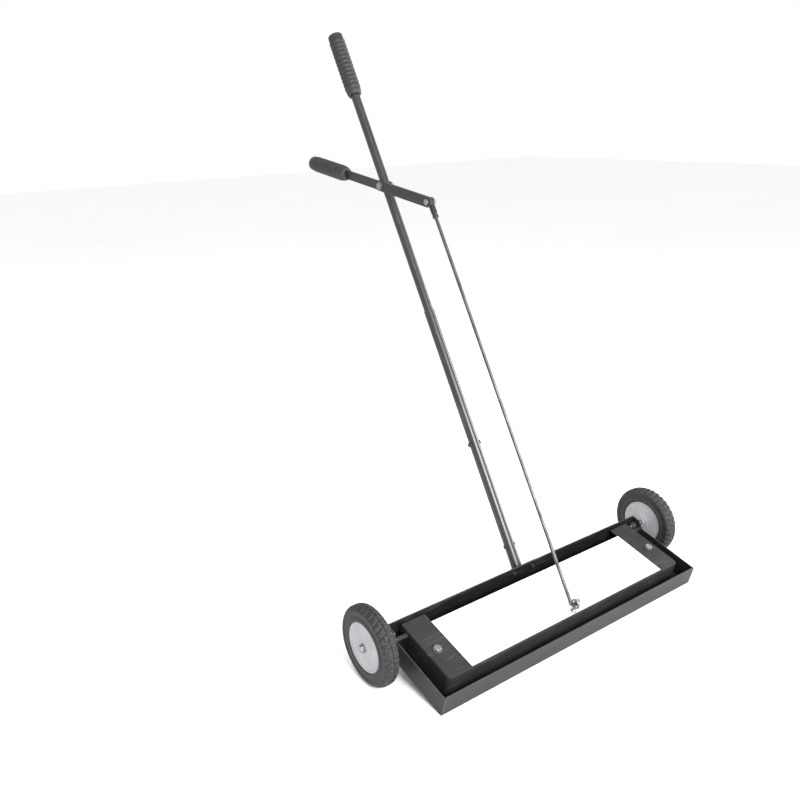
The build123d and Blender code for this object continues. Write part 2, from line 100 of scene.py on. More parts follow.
# %% [markdown]
# ## Colour and shader nodes
# Paint charts and screens give colours as sRGB hex values, while a renderer adds light in linear
# values, so one function converts. A second small function adds a shader node, sets it and links it.
# Then come two patterns that every maker knows: a surface is never one flat tone, and something always
# rubs off on it in patches. Every finish below is built with these.

# %% Colour and node helpers
def linear(hex_code):
    """An sRGB hex colour, such as "8A8C8E", as the linear RGBA that shaders expect."""
    channels = [int(hex_code[i:i + 2], 16) / 255 for i in (0, 2, 4)]
    return [c / 12.92 if c <= 0.04045 else ((c + 0.055) / 1.055) ** 2.4 for c in channels] + [1.0]


def add_node(tree, kind, values=None, links=None, **settings):
    """Add a node. values sets plain sockets, links joins sockets to outputs, settings are properties."""
    node = tree.nodes.new(kind)
    for key, value in settings.items():
        setattr(node, key, value)
    for key, value in (values or {}).items():
        node.inputs[key].default_value = value
    for key, output in (links or {}).items():
        tree.links.new(output, node.inputs[key])
    return node


def start_finish(name):
    """A new material emptied of nodes, with the object's own coordinates in metres ready to use."""
    finish = bpy.data.materials.new(name)
    finish.use_nodes = True
    tree = finish.node_tree
    tree.nodes.clear()
    coordinates = add_node(tree, "ShaderNodeTexCoord")
    return finish, tree, coordinates.outputs["Object"]


def end_finish(tree, surface, colour, roughness, normal):
    """Close a finish: join colour, roughness and bump to the shader and the shader to the output."""
    links = {"Base Color": colour, "Roughness": roughness, "Normal": normal}
    shader = add_node(tree, "ShaderNodeBsdfPrincipled", surface, links)
    add_node(tree, "ShaderNodeOutputMaterial", links={"Surface": shader.outputs["BSDF"]})


def turn_to(way):
    """The turn that a mapping node needs so that its Z runs along the direction way."""
    return way.to_track_quat("Z", "X").to_euler()


def mottled(tree, place, size_mm, detail, dark, light, low=0.3, high=0.75):
    """Soft clouds of a dark and a light tone. Returns the pattern and the colour."""
    cloud = add_node(tree, "ShaderNodeTexNoise", {"Scale": 1 / (size_mm * MM), "Detail": detail},
                     {"Vector": place})
    tone = add_node(tree, "ShaderNodeMapRange", {"From Min": low, "From Max": high},
                    {"Value": cloud.outputs["Fac"]})
    mixed = add_node(tree, "ShaderNodeMixRGB", {"Color1": linear(dark), "Color2": linear(light)},
                     {"Fac": tone.outputs["Result"]})
    return cloud.outputs["Fac"], mixed.outputs["Color"]


def stained(tree, place, size_mm, detail, stain, colour, low, high, most):
    """Patches of a stain over a colour. Returns the pattern, how much stain lies there and the colour."""
    patch = add_node(tree, "ShaderNodeTexNoise", {"Scale": 1 / (size_mm * MM), "Detail": detail},
                     {"Vector": place})
    amount = add_node(tree, "ShaderNodeMapRange", {"From Min": low, "From Max": high, "To Max": most},
                      {"Value": patch.outputs["Fac"]})
    mixed = add_node(tree, "ShaderNodeMixRGB", {"Color2": linear(stain)},
                     {"Fac": amount.outputs["Result"], "Color1": colour})
    return patch.outputs["Fac"], amount.outputs["Result"], mixed.outputs["Color"]


# %% [markdown]
# ## Powder coat on folded sheet
# The tray is sheet steel, folded and seam welded, then sprayed with dry polyester powder and baked at
# about 180 degrees. The melted powder flows into a skin with a faint orange-peel ripple 1 to 2 mm
# across. A jobsite leaves it lightly scuffed along its length. The folds and corners are painted a paler
# grey, partly as rubbed wear and partly as a painted highlight along the edges. A little roof dust
# settles on what faces up. Each of those is one pattern here, and a mix lays it over the colour below.

# %% Powder coat and enamel
def baked_paint(name, dark, light, roughness, peel_mm=1.6, dust=0.08, edge_wear_and_highlight=0.35, way=across, ior=1.5,
                shine=0.5):
    """Paint over steel. It is not metallic, and polyester powder has an IOR near 1.5."""
    finish, tree, place = start_finish(name)
    # Slow change of tone, about 70 mm across, as sprayed powder lies a little thicker or thinner.
    _, paint = mottled(tree, place, 70, 3.0, dark, light)
    # Scuffs: 9 mm patches drawn out six times along the piece.
    drawn = add_node(tree, "ShaderNodeMapping", {"Rotation": turn_to(way), "Scale": (1, 1, 6)},
                     {"Vector": place}, vector_type="TEXTURE")
    scuff, scuffed, worn = stained(tree, drawn.outputs["Vector"], 9, 6.0, "5E5E5E", paint, 0.56, 0.72, 0.22)
    # Paler edges, part rubbed wear and part painted highlight: where a rounded normal leaves the face's
    # own normal there is a fold or a corner.
    facing = add_node(tree, "ShaderNodeNewGeometry")
    rounded = add_node(tree, "ShaderNodeBevel", {"Radius": 1.6 * MM}, samples=4)
    alike = add_node(tree, "ShaderNodeVectorMath", operation="DOT_PRODUCT",
                     links={0: rounded.outputs["Normal"], 1: facing.outputs["Normal"]})
    edge = add_node(tree, "ShaderNodeMapRange", {"From Min": 0.97, "From Max": 0.8, "To Max": edge_wear_and_highlight},
                    {"Value": alike.outputs["Value"]})
    patchy_wear_and_highlight = add_node(tree, "ShaderNodeMath", operation="MULTIPLY",
                      links={0: edge.outputs["Result"], 1: scuff})
    # The paler grey mixed in here is part rubbed wear and part a painted highlight along the edges.
    wear_and_highlit_edges = add_node(tree, "ShaderNodeMixRGB", {"Color2": linear("A2A3A4")},
                      {"Fac": patchy_wear_and_highlight.outputs["Value"], "Color1": worn})
    # Dust: only where the surface looks up, in 22 mm patches with fine specks.
    upward = add_node(tree, "ShaderNodeSeparateXYZ", links={"Vector": facing.outputs["Normal"]})
    lying = add_node(tree, "ShaderNodeMapRange", {"From Min": 0.55, "To Max": dust},
                     {"Value": upward.outputs["Z"]})
    speck = add_node(tree, "ShaderNodeTexNoise", {"Scale": 1 / (22 * MM), "Detail": 8.0},
                     {"Vector": place})
    veil = add_node(tree, "ShaderNodeMath", operation="MULTIPLY",
                    links={0: lying.outputs["Result"], 1: speck.outputs["Fac"]})
    dusty = add_node(tree, "ShaderNodeMixRGB", {"Color2": linear("8D8A86")},
                     {"Fac": veil.outputs["Value"], "Color1": wear_and_highlit_edges.outputs["Color"]})
    gloss = add_node(tree, "ShaderNodeMapRange", {"To Min": roughness, "To Max": roughness + 0.8},
                     {"Value": scuffed})
    peel = add_node(tree, "ShaderNodeTexNoise", {"Scale": 1 / (peel_mm * MM), "Detail": 1.0},
                    {"Vector": place})
    ripple = add_node(tree, "ShaderNodeBump", {"Distance": 0.03 * MM}, {"Height": peel.outputs["Fac"]})
    scratch = add_node(tree, "ShaderNodeBump", {"Distance": 0.02 * MM},
                       {"Height": scuff, "Normal": ripple.outputs["Normal"]})
    surface = {"IOR": ior, "Specular IOR Level": shine}
    end_finish(tree, surface, dusty.outputs["Color"], gloss.outputs["Result"], scratch.outputs["Normal"])
    return finish


powder_coat = baked_paint("powder_coated_steel", "121314", "1C1D1E", 0.48, shine=0.3)
# The carrier's paint is a flatter black than the tray's: less shine, a little paler.
carrier_paint = baked_paint("painted_folded_steel", "252627", "2F3031", 0.62, dust=0.03, shine=0.12)
# Enamel flows out glossier than powder, so it takes a higher IOR and a broad soft highlight.
tube_enamel = baked_paint("enamelled_tube", "141516", "1E1F20", 0.34, peel_mm=2.2, edge_wear_and_highlight=0.2,
                          way=handle_way, ior=1.65)
lever_enamel = baked_paint("enamelled_flat_bar", "151617", "202123", 0.42, peel_mm=2.0, way=lever_way)
black_oxide = baked_paint("black_oxide_steel", "121313", "1B1C1C", 0.42, peel_mm=0.8, dust=0.04)
print("painted finishes: tray, carrier, tube, lever, black oxide")

# %% [markdown]
# ## Zinc plate, drawn rod and hot rolled plate
# Bolts are zinc plated: a thin bright layer whose crystals make cloudy patches a few millimetres
# across. The pull rod is plain drawn steel, whose die leaves fine lines along the rod. The plate behind
# the magnets is plain rolled steel. Metals keep the default IOR, because their colour already says how
# they reflect.

# %% Metals
def bare_metal(name, dark, light, roughness, cloud_mm, line_mm, way=across, stretch=1.0, depth_mm=0.012):
    """Metal with soft clouds of tone, and fine drawn or ground lines that run along the direction way."""
    finish, tree, place = start_finish(name)
    _, metal = mottled(tree, place, cloud_mm, 5.0, dark, light, 0.32, 0.7)
    drawn = add_node(tree, "ShaderNodeMapping", {"Rotation": turn_to(way), "Scale": (1, 1, stretch)},
                     {"Vector": place}, vector_type="TEXTURE")
    lines = add_node(tree, "ShaderNodeTexNoise", {"Scale": 1 / (line_mm * MM), "Detail": 4.0},
                     {"Vector": drawn.outputs["Vector"]})
    spread = {"From Min": 0.3, "From Max": 0.7, "To Min": roughness - 0.08, "To Max": roughness + 0.14}
    gloss = add_node(tree, "ShaderNodeMapRange", spread, {"Value": lines.outputs["Fac"]})
    relief = add_node(tree, "ShaderNodeBump", {"Distance": depth_mm * MM},
                      {"Height": lines.outputs["Fac"]})
    end_finish(tree, {"Metallic": 1.0}, metal, gloss.outputs["Result"], relief.outputs["Normal"])
    return finish


zinc_plate = bare_metal("zinc_plated_steel", "808283", "A4A6A7", 0.44, cloud_mm=5, line_mm=0.7)
# Drawn lines are hundredths of a millimetre apart. They are drawn 0.8 mm apart here, so that they show.
drawn_steel = bare_metal("drawn_steel_rod", "48494A", "626364", 0.38, cloud_mm=30, line_mm=0.8,
                         way=rod_way, stretch=20.0)
mill_steel = bare_metal("hot_rolled_plate", "55565A", "727376", 0.5, cloud_mm=40, line_mm=2.0,
                        stretch=10.0, depth_mm=0.03)
print("metal finishes: zinc plate, drawn rod, hot rolled plate")

# %% [markdown]
# ## Ferrite
# The magnets are strontium ferrite, pressed from powder and fired like pottery. That leaves a charcoal
# grey surface, dull and slightly grainy, with no metal shine at all.

# %% Fired ferrite
def fired_ferrite():
    """A dull ceramic. Its grains are finer than a tenth of a millimetre, drawn 0.9 mm across to show."""
    finish, tree, place = start_finish("fired_ferrite")
    grain, ceramic = mottled(tree, place, 0.9, 6.0, "2F2E2F", "454344")
    gloss = add_node(tree, "ShaderNodeMapRange", {"To Min": 0.62, "To Max": 0.82}, {"Value": grain})
    relief = add_node(tree, "ShaderNodeBump", {"Distance": 0.06 * MM}, {"Height": grain})
    end_finish(tree, {"IOR": 1.6}, ceramic, gloss.outputs["Result"], relief.outputs["Normal"])
    return finish


ferrite = fired_ferrite()
print("ceramic finish: ferrite")

# %% [markdown]
# ## Rubber
# The tyres are solid moulded rubber filled with carbon black. Rubber is never quite black in daylight:
# it reflects a broad, dull highlight, and grit rubs its tread paler. The grips are softer, with a fine
# eggshell texture left by the mould.

# %% Rubber finishes
def moulded_rubber(name, dark, light, roughness, grain_mm, depth_mm, grit):
    """Carbon-filled rubber, IOR about 1.52, with grit rubbed into it in patches."""
    finish, tree, place = start_finish(name)
    patch, rubber = mottled(tree, place, 14, 6.0, dark, light, 0.3, 0.72)
    _, _, gritty = stained(tree, place, 5, 9.0, "6E6D6A", rubber, 0.48, 0.75, grit)
    grain = add_node(tree, "ShaderNodeTexNoise", {"Scale": 1 / (grain_mm * MM), "Detail": 3.0},
                     {"Vector": place})
    relief = add_node(tree, "ShaderNodeBump", {"Distance": depth_mm * MM},
                      {"Height": grain.outputs["Fac"]})
    gloss = add_node(tree, "ShaderNodeMapRange", {"To Min": roughness - 0.06, "To Max": roughness + 0.1},
                     {"Value": patch})
    end_finish(tree, {"IOR": 1.52}, gritty, gloss.outputs["Result"], relief.outputs["Normal"])
    return finish


tyre_rubber = moulded_rubber("solid_tyre_rubber", "121313", "1D1E1E", 0.66,
                             grain_mm=1.4, depth_mm=0.08, grit=0.2)
grip_rubber = moulded_rubber("soft_grip_rubber", "1A1A1B", "252526", 0.58,
                             grain_mm=0.9, depth_mm=0.05, grit=0.12)
print("rubber finishes: tyre, grip")

# %% [markdown]
# ## Plastics and the blank label
# The wheel halves are injection-moulded polypropylene in light grey, which is slightly waxy: a soft
# highlight, a little light passing into the surface, and faint flow marks. The bushes are natural
# nylon. The label is white vinyl film. It is left blank, with the slight ripple that any film has over
# paint.

# %% Plastics and label
def moulded_plastic(name, dark, light, roughness, flow_mm, depth_mm, dirt, ior=1.49):
    """Polypropylene, nylon or vinyl: IOR 1.49 to 1.53, faint flow marks, dirt held in patches."""
    finish, tree, place = start_finish(name)
    flow, plastic = mottled(tree, place, flow_mm, 4.0, dark, light)
    _, _, dirty = stained(tree, place, 12, 9.0, "7E7B77", plastic, 0.5, 0.78, dirt)
    # The mould's fine texture is about 0.1 mm. It is drawn 1.1 mm across here, so that it shows.
    grain = add_node(tree, "ShaderNodeTexNoise", {"Scale": 1 / (1.1 * MM), "Detail": 2.0},
                     {"Vector": place})
    relief = add_node(tree, "ShaderNodeBump", {"Distance": depth_mm * MM},
                      {"Height": grain.outputs["Fac"]})
    gloss = add_node(tree, "ShaderNodeMapRange", {"To Min": roughness - 0.05, "To Max": roughness + 0.08},
                     {"Value": flow})
    surface = {"IOR": ior, "Subsurface Weight": 0.05, "Subsurface Scale": 2 * MM}
    end_finish(tree, surface, dirty, gloss.outputs["Result"], relief.outputs["Normal"])
    return finish


wheel_plastic = moulded_plastic("light_grey_polypropylene", "949397", "A3A2A6", 0.45,
                                flow_mm=35, depth_mm=0.02, dirt=0.35)
bush_nylon = moulded_plastic("natural_nylon", "B5B3AC", "C2C0B9", 0.4,
                             flow_mm=12, depth_mm=0.015, dirt=0.3, ior=1.53)
label_vinyl = moulded_plastic("white_vinyl_film", "D9DBDB", "E2E3E3", 0.4,
                              flow_mm=120, depth_mm=0.006, dirt=0.03, ior=1.52)
print("plastic finishes: wheel, bush, label")

# %% [markdown]
# ## Dress the CAD pieces
# Each CAD node already has the right shape, so most only need their finish. Real sheet and bar never
# end in a perfectly sharp edge, and a sharp edge catches no light. A bevel modifier of a few tenths of
# a millimetre breaks the edges without touching the CAD mesh underneath.

# %% Assign finishes to nodes and break their edges
finish_of_slot = {
    "powder_coat": powder_coat, "carrier_paint": carrier_paint, "tube_paint": tube_enamel,
    "zinc": zinc_plate, "dark_steel": drawn_steel, "black_oxide": black_oxide,
    "grip_rubber": grip_rubber, "tyre_rubber": tyre_rubber, "hub_plastic": wheel_plastic,
    "bush_nylon": bush_nylon, "label_film": label_vinyl, "ferrite": ferrite, "mild_plate": mill_steel}
slot_of_node = {part["node"]: part["material_slot"] for part in record["subparts"]}


def break_edges(piece, width_mm):
    edge = piece.modifiers.new("broken_edges", "BEVEL")
    edge.width = width_mm * MM
    edge.segments = 2
    edge.limit_method = "ANGLE"
    edge.angle_limit = math.radians(40)


for name, node in nodes.items():
    finish = lever_enamel if name == "lever_bar" else finish_of_slot[slot_of_node[name]]
    node.data.materials.clear()
    node.data.materials.append(finish)
print("dressed", len(nodes), "nodes")

folded_edge_mm = 0.45
fastener_edge_mm = 0.3
folded = ("tray_channel", "tray_end_left", "tray_end_right", "magnet_cover", "lever_bar", "handle_socket")
fasteners = (
    "socket_bolts", "socket_nuts", "handle_joint_bolt", "handle_joint_nut", "lever_pivot_nut",
    "rod_pin_nut", "rod_lock_nut", "axle_nuts", "cover_bolt_washers", "axle_washers",
    "lever_pivot_washers", "handle_cross_pin", "rod_top_eye", "rod_washer")
for name in folded:
    break_edges(nodes[name], folded_edge_mm)
for name in fasteners:
    break_edges(nodes[name], fastener_edge_mm)

# %% [markdown]
# ## Building blocks for new pieces
# New pieces are made in bmesh. Most pieces of a wheel or a grip are turned: a half profile carried
# round an axis. `round_z` gives one point of such a piece, `skin` joins rings of points with faces,
# `turned` does both for a profile, and `placed` gives the matrix that stands the piece on its axis.
# `hand_over` hangs a piece on the body that it rides on and hides the CAD nodes that it stands for.

# %% Mesh helpers
def placed(origin, along):
    """The matrix that moves local Z onto the direction along, with its start at origin."""
    turn = along.normalized().to_track_quat("Z", "X").to_matrix().to_4x4()
    return Matrix.Translation(origin) @ turn


def round_z(radius, angle, height):
    """The point at this angle round local Z. Radius and height are in mm, the point in metres."""
    return Vector((radius * MM * math.cos(angle), radius * MM * math.sin(angle), height * MM))


def skin(mesh, rings):
    """Join closed rings of points, each ring to the next and the last to the first."""
    rows = [[mesh.verts.new(point) for point in ring] for ring in rings]
    for row, following in zip(rows, rows[1:] + rows[:1]):
        for index in range(len(row)):
            other = (index + 1) % len(row)
            mesh.faces.new((row[index], following[index], following[other], row[other]))


def turned(mesh, profile, matrix, segments):
    """Carry a closed profile of (radius, height) in mm round local Z."""
    angles = [2 * math.pi * step / segments for step in range(segments)]
    skin(mesh, [[matrix @ round_z(radius, angle, height) for radius, height in profile]
                for angle in angles])


def add_object(name, data):
    thing = bpy.data.objects.new(name, data)
    bpy.context.scene.collection.objects.link(thing)
    return thing


def hand_over(piece, body, replaced):
    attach(piece, body)
    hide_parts(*replaced)


def finish_piece(mesh, name, body, replaced, finish, smooth_angle=35):
    """Clean the mesh, make it an object, hang it on its body and hide the CAD nodes that it replaces."""
    bmesh.ops.remove_doubles(mesh, verts=mesh.verts, dist=1e-6)
    bmesh.ops.recalc_face_normals(mesh, faces=mesh.faces)
    data = bpy.data.meshes.new(name)
    mesh.to_mesh(data)
    mesh.free()
    piece = add_object(name, data)
    data.materials.append(finish)
    data.polygons.foreach_set("use_smooth", [True] * len(data.polygons))
    data.set_sharp_from_angle(angle=math.radians(smooth_angle))
    hand_over(piece, body, replaced)
    print(name, "faces", len(data.polygons))


# %% [markdown]
# ## Tyres
# A solid utility tyre has a rounded shoulder, a raised bead ring next to the wheel, and tread lugs that
# lean into a shallow chevron. A grid is wrapped round the wheel: across it the height follows the
# tyre's section, and round it a wave cuts the gaps between the lugs. The gaps have sloping sides so the
# mould lets go.

# %% Tyre
lug_count = 36
steps_per_lug = 12
tread_cut = 2.6
shoulder_drop = 8.0


def smooth_step(value, start, end):
    t = min(1.0, max(0.0, (value - start) / (end - start)))
    return t * t * (3 - 2 * t)


def tyre_section(outer, inner, half_width):
    """Section points (radius, sideways, how much tread cuts here) in mm, from one bead to the other."""
    side = [(inner, half_width - 2.2), (inner + 1.2, half_width - 0.6), (inner + 4, half_width),
            (inner + 8.0, half_width), (inner + 9.0, half_width - 1.1), (outer - 15, half_width - 1.1),
            (outer - 14, half_width - 0.1), (outer - 9, half_width - 0.4)]
    left = [(radius, -sideways, 0.0) for radius, sideways in side]
    right = [(radius, sideways, 0.0) for radius, sideways in reversed(side)]
    crown = []
    steps = 30
    for step in range(steps + 1):
        share = -1 + 2 * step / steps
        crown.append((outer - shoulder_drop * abs(share) ** 3.4, share * (half_width - 0.7), 1.0))
    return left + crown + right


def tread_depth(turn, share):
    """Depth of cut, 0 to 1, at a fraction of a turn round the tyre and -1 to 1 across it."""
    lean = 0.42 * abs(share)
    shift = 0.0 if share > 0 else 0.5
    phase = (turn * lug_count + lean + shift) % 1.0
    gap = 1 - smooth_step(abs(phase - 0.5) * 2, 0.16, 0.38)
    centre_groove = 1 - smooth_step(abs(share), 0.04, 0.10)
    rib_groove = 1 - smooth_step(abs(abs(share) - 0.5), 0.02, 0.07)
    outside = smooth_step(abs(share), 0.02, 0.12)
    return max(gap * outside, centre_groove, 0.6 * rib_groove)


def tyre(side_name, side):
    node = "tyre_" + side_name
    outer = span(node).z / MM / 2
    half_width = span(node).x / MM / 2
    inner = span("hub_" + side_name).z / MM / 2
    matrix = placed(middle(node), Vector((side, 0, 0)))
    section = tyre_section(outer, inner, half_width)
    segments = lug_count * steps_per_lug
    rings = []
    for step in range(segments):
        turn = step / segments
        ring = []
        for radius, sideways, tread in section:
            cut = tread * tread_cut * tread_depth(turn, sideways / half_width)
            ring.append(matrix @ round_z(radius - cut, 2 * math.pi * turn, sideways))
        rings.append(ring)
    mesh = bmesh.new()
    skin(mesh, rings)
    finish_piece(mesh, "tyre_tread_" + side_name, "wheel_" + side_name, [node], tyre_rubber,
                 50)


for side_name, side in (("left", -1), ("right", 1)):
    tyre(side_name, side)

# %% [markdown]
# ## Wheel discs
# The wheel is two mouldings pressed together: an outer cup with rim, disc and boss, and an inner disc
# that closes it. Both faces are slightly dished, with a raised lip at the rim and a raised ring round
# the bush, which is where the moulder needs thickness. Each is one turned profile of (radius, height)
# points, written from the radius of its rim, the height of its face and the radius of its bore.

# %% Wheel halves
face_inset = 1.4
wheel_wall = 3.0


def cup_outline(rim, face, bore):
    """Boss, disc and rim, then the lip, the dished face and the ring round the bush."""
    back = -face + wheel_wall
    floor = face - wheel_wall
    return [
        (bore, back), (bore + 4, back), (bore + 4, floor), (rim - wheel_wall, floor),
        (rim - wheel_wall, back), (rim, back), (rim, face - 0.7), (rim - 0.2, face - 0.2),
        (rim - 0.7, face), (rim - 3.2, face), (rim - 3.8, face - 0.3), (rim - 4.6, face - 1.2),
        (rim - 12, face - 1.6), (28, face - 1.8), (19, face - 1.5), (17.4, face - 1.2),
        (16.8, face - 0.4), (16.2, face - 0.1), (bore + 0.6, face), (bore, face - 0.5)]


def disc_outline(rim, face, bore):
    """A flat back, then the lip, the dished face and the ring round the bush."""
    floor = face - wheel_wall
    return [
        (bore, floor), (rim, floor), (rim, face - 0.7), (rim - 0.7, face), (rim - 3.0, face),
        (rim - 4.2, face - 1.0), (rim - 14, face - 1.3), (22, face - 1.3), (18.5, face - 0.9),
        (17.6, face - 0.1), (bore, face)]


def wheel_half(half, node, side_name, facing, outline):
    """One half of a wheel. facing is 1 or -1, the way that its face looks along X."""
    tyre_node = "tyre_" + side_name
    rim = span(node).z / MM / 2
    face = span(tyre_node).x / MM / 2 - face_inset
    bore = span("wheel_bush_" + side_name).z / MM / 2
    mesh = bmesh.new()
    turned(mesh, outline(rim, face, bore), placed(middle(tyre_node), Vector((facing, 0, 0))), 128)
    finish_piece(mesh, "wheel_%s_half_%s" % (half, side_name), "wheel_" + side_name, [node],
                 wheel_plastic)


for side_name, side in (("left", -1), ("right", 1)):
    wheel_half("outer", "hub_" + side_name, side_name, side, cup_outline)
    wheel_half("inner", "hub_inner_disc_" + side_name, side_name, -side, disc_outline)

# %% [markdown]
# ## Hand grips
# The grips are moulded rubber sleeves pushed over the tube and the lever. Each starts in a tapered
# mouth, has a run of shallow rings that stop the hand from slipping, and ends in a rounded closed end.
# Both are the same moulding, so one function makes them, given where the mouth is and which way it
# points.

# %% Grips
grip_length = 165.0
grip_radius = 20.0
sleeve_radius = 18.5
mouth_radius = 15.7
grip_rings = 12
first_ring = 16.0
last_ring_from_end = 14.0
end_round = 3.0
end_wall = 5.0


def grip(name, node, body, mouth, way, bore):
    """A ringed sleeve. mouth is the middle of its open end, way points to its closed end."""
    profile = [(bore, 0.3), (bore + 0.3, 0.0), (mouth_radius, 0.0), (mouth_radius + 0.4, 0.4),
               (sleeve_radius, 9.0), (sleeve_radius, 13.0)]
    pitch = (grip_length - last_ring_from_end - first_ring) / grip_rings
    ring_shape = [(sleeve_radius, 0.0), (grip_radius - 0.4, 0.14), (grip_radius, 0.28),
                  (grip_radius, 0.5), (grip_radius - 0.4, 0.64), (sleeve_radius, 0.78)]
    for ring in range(grip_rings):
        profile += [(radius, first_ring + (ring + share) * pitch) for radius, share in ring_shape]
    for step in range(7):
        angle = math.pi / 2 * step / 6
        profile.append((sleeve_radius - end_round * (1 - math.cos(angle)),
                        grip_length - end_round * (1 - math.sin(angle))))
    dimple = grip_length - 0.6
    closed = grip_length - end_wall
    profile += [(5.0, grip_length), (4.0, dimple), (0.0, dimple), (0.0, closed), (bore, closed)]
    mesh = bmesh.new()
    turned(mesh, profile, placed(mouth, way), 72)
    finish_piece(mesh, name, body, [node], grip_rubber, 50)


pivot_to_handle_grip = 246.0 * MM
pivot_to_lever_grip = 156.0 * MM
tube_bore = 11.15
lever_bore = 2.4
handle_mouth = Vector((0, lever_pivot.y, lever_pivot.z)) + handle_way * pivot_to_handle_grip
lever_middle = Vector((middle("lever_bar").x, lever_pivot.y, lever_pivot.z))
lever_mouth = lever_middle + lever_way * pivot_to_lever_grip
grip("handle_grip_sleeve", "handle_grip", "frame", handle_mouth, handle_way, tube_bore)
grip("lever_grip_sleeve", "lever_grip", "lever", lever_mouth, lever_way, lever_bore)

# %% [markdown]
# ## Bolt heads
# A real hex head is turned before it is cut: its top corners are rounded off by a 30 degree chamfer,
# and a thin round face sits under it. The head here is a hexagonal prism in rings. Each ring's radius
# is the smaller of the hexagon and a cone, which gives the same curved chamfer as the real one.

# %% Hex bolts
def hex_bolt(mesh, seat, way, flats, height, shank_radius, shank_length):
    """A bolt whose head sits at seat and points along way; its shank goes the other way. Sizes in mm."""
    matrix = placed(seat, way)
    segments = 72
    half_flats = flats / 2
    corner = half_flats / math.cos(math.pi / 6)
    under_face, top_face = half_flats * 0.96, half_flats * 0.94
    chamfer, steps = 1.4, 5
    shank = [(-shank_length, shank_radius - 0.6), (-shank_length + 0.6, shank_radius),
             (0.0, shank_radius)]
    head = [(0.0, under_face), (0.5, under_face), (0.5, corner)]
    for step in range(steps + 1):
        share = step / steps
        head.append((height - chamfer + chamfer * share, corner - (corner - top_face) * share ** 1.3))
    rings = []
    for level, limit in shank + head:
        ring = []
        for step in range(segments):
            angle = 2 * math.pi * step / segments
            off_flat = (angle + math.pi / 6) % (math.pi / 3) - math.pi / 6
            radius = min(limit, half_flats / math.cos(off_flat))
            ring.append(mesh.verts.new(matrix @ round_z(radius, angle, level)))
        rings.append(ring)
    for ring, following in zip(rings, rings[1:]):
        for step in range(segments):
            other = (step + 1) % segments
            mesh.faces.new((ring[step], ring[other], following[other], following[step]))
    mesh.faces.new(rings[-1])
    mesh.faces.new(list(reversed(rings[0])))


def bolts(name, node, body, heads, flats, height, shank_radius, shank_length):
    """One or more like bolts. heads gives where each head sits and the way that it points."""
    mesh = bmesh.new()
    for seat, way in heads:
        hex_bolt(mesh, seat, way, flats, height, shank_radius, shank_length)
    finish_piece(mesh, name, body, [node], zinc_plate, 25)


m8_flats, m8_head, m8_radius = 13.0, 5.3, 4.0
left_way = Vector((-1, 0, 0))

# %% Cover bolts
cover_bolt_flats = 15.0
cover_bolt_length = 26.0
washer_radius = 9.5 * MM
half_washer = 0.8 * MM
washers = middle("cover_bolt_washers")
bolt_reach = span("cover_bolt_washers").x / 2 - washer_radius
cover_heads = [(Vector((side * bolt_reach, washers.y, washers.z)) + tray_up * half_washer, tray_up)
               for side in (-1, 1)]
bolts("cover_hex_bolts", "cover_bolts", "carrier", cover_heads, cover_bolt_flats, m8_head, m8_radius,
      cover_bolt_length)

# %% Lever bolts
for name, node, body, centre in (("lever_pivot_hex_bolt", "lever_pivot_bolt", "frame", lever_pivot),
                                 ("rod_pin_hex_bolt", "rod_pin_bolt", "lever", rod_pin)):
    low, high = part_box(node)
    seat = Vector((low[0] + m8_head * MM, centre.y, centre.z))
    bolts(name, node, body, [(seat, left_way)], m8_flats, m8_head, m8_radius, (high[0] - seat.x) / MM)

# %% Axle bolts
axle_flats, axle_head, axle_radius = 14.3, 6.0, 4.75
axle_nut_height = 8 * MM
thread_past_nut = 3 * MM
axle = middle("axle_bolts")
head_seat = span("axle_bolts").x / 2 - axle_head * MM
shank_end = span("axle_nuts").x / 2 - axle_nut_height - thread_past_nut
axle_heads = [(Vector((side * head_seat, axle.y, axle.z)), Vector((side, 0, 0))) for side in (-1, 1)]
bolts("axle_hex_bolts", "axle_bolts", "frame", axle_heads, axle_flats, axle_head, axle_radius,
      (head_seat - shank_end) / MM)

# %% [markdown]
# ## Pull rod
# The rod is 8 mm drawn steel. It is threaded at the top into its eye and bent square at the bottom so
# that its leg drops through the lifting eye. A curve with a round bevel is the natural way to draw bent
# rod: give the corner as a short arc of points, and Blender carries the section round it without
# pinching.

# %% Pull rod as a bevelled curve
def bent_rod(name, points, radius_mm, body, replaced, finish):
    """A round rod or wire through the given points, in metres."""
    curve = bpy.data.curves.new(name, "CURVE")
    curve.dimensions = "3D"
    curve.bevel_depth = radius_mm * MM
    curve.bevel_resolution = 8
    curve.use_fill_caps = True
    line = curve.splines.new("POLY")
    line.points.add(len(points) - 1)
    for point, place in zip(line.points, points):
        point.co = (*place, 1)
    curve.materials.append(finish)
    line.use_smooth = True
    piece = add_object(name, curve)
    hand_over(piece, body, replaced)
    print(name, "points", len(points))


def rounded_corner(corner, coming, going, radius):
    """Points on the arc that rounds a square corner; coming and going are unit directions."""
    centre = corner - coming * radius + going * radius
    points = []
    steps = 10
    for step in range(steps + 1):
        angle = math.pi / 2 * step / steps
        points.append(centre - going * radius * math.cos(angle) + coming * radius * math.sin(angle))
    return points


rod_radius = 4.0
rod_bend = 7 * MM
rod_below_pin = 20 * MM
rod_low, rod_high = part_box("pull_rod")
rod_x = rod_low[0] + rod_radius * MM
rod_corner = Vector((rod_x, eye_centre.y, eye_centre.z))
rod_top = Vector((rod_x, rod_pin.y, rod_pin.z)) - rod_way * rod_below_pin
leg_end = Vector((rod_high[0], eye_centre.y, eye_centre.z))
rod_points = [rod_top, *rounded_corner(rod_corner, -rod_way, across, rod_bend), leg_end]
bent_rod("pull_rod_bent", rod_points, rod_radius, "rod", ["pull_rod"], drawn_steel)

